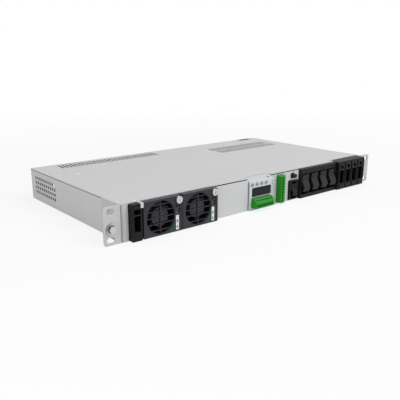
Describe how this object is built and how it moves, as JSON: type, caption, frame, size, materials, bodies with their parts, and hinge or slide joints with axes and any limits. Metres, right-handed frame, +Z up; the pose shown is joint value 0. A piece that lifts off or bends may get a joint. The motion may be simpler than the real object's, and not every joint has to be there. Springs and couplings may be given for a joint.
{
  "type": "rack power shelf",
  "caption": "Rack-mounted direct current power shelf, one rack unit high, with plug-in rectifier modules, controller, breakers and screw terminals.",
  "frame": {"origin": "midway between the rack ears, on the front plane of the ears, at the level of the underside", "axes": "+X to the right seen from the front, +Y to the back, +Z up"},
  "size_m": [0.4826, 0.2527, 0.0436],
  "materials": {
    "painted_sheet": "satin light grey paint",
    "zinc_sheet": "zinc plated",
    "bezel_plastic": "fine texture, dark grey",
    "black_plastic": "fine texture, black",
    "lever_plastic": "smooth, dark grey",
    "white_plastic": "satin, pale",
    "green_plastic": "green connector plastic",
    "display_glass": "dark window",
    "key_plastic": "satin grey",
    "button_plastic": "smooth black",
    "circuit_board": "green solder mask",
    "bare_aluminium": "extruded",
    "copper_bar": "bare copper",
    "plated_steel": "nickel plated"
  },
  "bodies": {
    "shelf": {"ac_contacts": "copper_bar", "ac_input_block": "black_plastic", "backplane_board": "circuit_board", "backplane_socket_1": "black_plastic", "backplane_socket_2": "black_plastic", "base_tray": "painted_sheet", "battery_breaker_body": "black_plastic", "bay_divider_1": "zinc_sheet", "bay_divider_2": "zinc_sheet", "blank_panel": "painted_sheet", "breaker_bank": "black_plastic", "cover_screws": "plated_steel", "ear_screws": "plated_steel", "ground_nut": "plated_steel", "ground_screw": "plated_steel", "ground_washer": "plated_steel", "latch_blocks": "plated_steel", "left_ear": "painted_sheet", "negative_busbar": "copper_bar", "output_screws": "plated_steel", "output_terminals": "black_plastic", "positive_busbar": "copper_bar", "right_ear": "painted_sheet", "signal_board": "circuit_board", "signal_panel": "painted_sheet", "signal_socket": "green_plastic", "top_cover": "painted_sheet"},
    "rectifier_1": {"rectifier_1_bezel": "bezel_plastic", "rectifier_1_case": "zinc_sheet", "rectifier_1_fan_frame": "black_plastic", "rectifier_1_board": "circuit_board", "rectifier_1_heatsink": "bare_aluminium", "rectifier_1_plug": "black_plastic"},
    "fan_1": {"rectifier_1_fan_rotor": "black_plastic"},
    "captive_screw_1": {"rectifier_1_captive_screw": "plated_steel"},
    "rectifier_2": {"rectifier_2_bezel": "bezel_plastic", "rectifier_2_case": "zinc_sheet", "rectifier_2_fan_frame": "black_plastic", "rectifier_2_board": "circuit_board", "rectifier_2_heatsink": "bare_aluminium", "rectifier_2_plug": "black_plastic"},
    "fan_2": {"rectifier_2_fan_rotor": "black_plastic"},
    "captive_screw_2": {"rectifier_2_captive_screw": "plated_steel"},
    "controller": {"controller_face": "white_plastic", "controller_case": "zinc_sheet", "controller_board": "circuit_board", "controller_display": "display_glass", "controller_socket": "green_plastic"},
    "key_1": {"controller_key_1": "key_plastic"},
    "key_2": {"controller_key_2": "key_plastic"},
    "key_3": {"controller_key_3": "key_plastic"},
    "key_4": {"controller_key_4": "key_plastic"},
    "controller_plug": {"controller_terminal_plug": "green_plastic"},
    "signal_plug": {"signal_terminal_plug": "green_plastic"},
    "button": {"start_button": "button_plastic"},
    "battery_lever": {"battery_breaker_lever": "lever_plastic"},
    "lever_1": {"breaker_lever_1": "lever_plastic"},
    "lever_2": {"breaker_lever_2": "lever_plastic"},
    "lever_3": {"breaker_lever_3": "lever_plastic"},
    "lever_4": {"breaker_lever_4": "lever_plastic"}
  },
  "joints": [
    {"name": "rectifier_1_slide", "type": "slide", "parent": "shelf", "child": "rectifier_1", "axis": [0, -1, 0], "range_m": [0, 0.19]},
    {"name": "fan_1_spin", "type": "hinge", "parent": "rectifier_1", "child": "fan_1", "pos_m": [-0.1728, 0.004, 0.0219], "axis": [0, 1, 0], "continuous": true},
    {"name": "captive_screw_1_turn", "type": "hinge", "parent": "rectifier_1", "child": "captive_screw_1", "pos_m": [-0.1484, -0.01, 0.0383], "axis": [0, 1, 0], "continuous": true},
    {"name": "rectifier_2_slide", "type": "slide", "parent": "shelf", "child": "rectifier_2", "axis": [0, -1, 0], "range_m": [0, 0.19]},
    {"name": "fan_2_spin", "type": "hinge", "parent": "rectifier_2", "child": "fan_2", "pos_m": [-0.1188, 0.004, 0.0219], "axis": [0, 1, 0], "continuous": true},
    {"name": "captive_screw_2_turn", "type": "hinge", "parent": "rectifier_2", "child": "captive_screw_2", "pos_m": [-0.0944, -0.01, 0.0383], "axis": [0, 1, 0], "continuous": true},
    {"name": "controller_slide", "type": "slide", "parent": "shelf", "child": "controller", "axis": [0, -1, 0], "range_m": [0, 0.1]},
    {"name": "key_1_press", "type": "slide", "parent": "controller", "child": "key_1", "axis": [0, 1, 0], "range_m": [0, 0.0006], "stiffness_N_per_m": 900},
    {"name": "key_2_press", "type": "slide", "parent": "controller", "child": "key_2", "axis": [0, 1, 0], "range_m": [0, 0.0006], "stiffness_N_per_m": 900},
    {"name": "key_3_press", "type": "slide", "parent": "controller", "child": "key_3", "axis": [0, 1, 0], "range_m": [0, 0.0006], "stiffness_N_per_m": 900},
    {"name": "key_4_press", "type": "slide", "parent": "controller", "child": "key_4", "axis": [0, 1, 0], "range_m": [0, 0.0006], "stiffness_N_per_m": 900},
    {"name": "controller_plug_slide", "type": "slide", "parent": "controller", "child": "controller_plug", "axis": [0, -1, 0], "range_m": [0, 0.008]},
    {"name": "signal_plug_slide", "type": "slide", "parent": "shelf", "child": "signal_plug", "axis": [0, -1, 0], "range_m": [0, 0.006]},
    {"name": "start_button_press", "type": "slide", "parent": "shelf", "child": "button", "axis": [0, 1, 0], "range_m": [0, 0.002], "stiffness_N_per_m": 900},
    {"name": "battery_lever_flip", "type": "hinge", "parent": "shelf", "child": "battery_lever", "pos_m": [0.057, 0.0006, 0.0153], "axis": [1, 0, 0], "range_deg": [0, 40]},
    {"name": "lever_1_flip", "type": "hinge", "parent": "shelf", "child": "lever_1", "pos_m": [0.0794, 0.0006, 0.0216], "axis": [1, 0, 0], "range_deg": [0, 40]},
    {"name": "lever_2_flip", "type": "hinge", "parent": "shelf", "child": "lever_2", "pos_m": [0.0994, 0.0006, 0.0216], "axis": [1, 0, 0], "range_deg": [0, 40]},
    {"name": "lever_3_flip", "type": "hinge", "parent": "shelf", "child": "lever_3", "pos_m": [0.1194, 0.0006, 0.0216], "axis": [1, 0, 0], "range_deg": [0, 40]},
    {"name": "lever_4_flip", "type": "hinge", "parent": "shelf", "child": "lever_4", "pos_m": [0.1394, 0.0006, 0.0216], "axis": [1, 0, 0], "range_deg": [0, 40]}
  ]
}
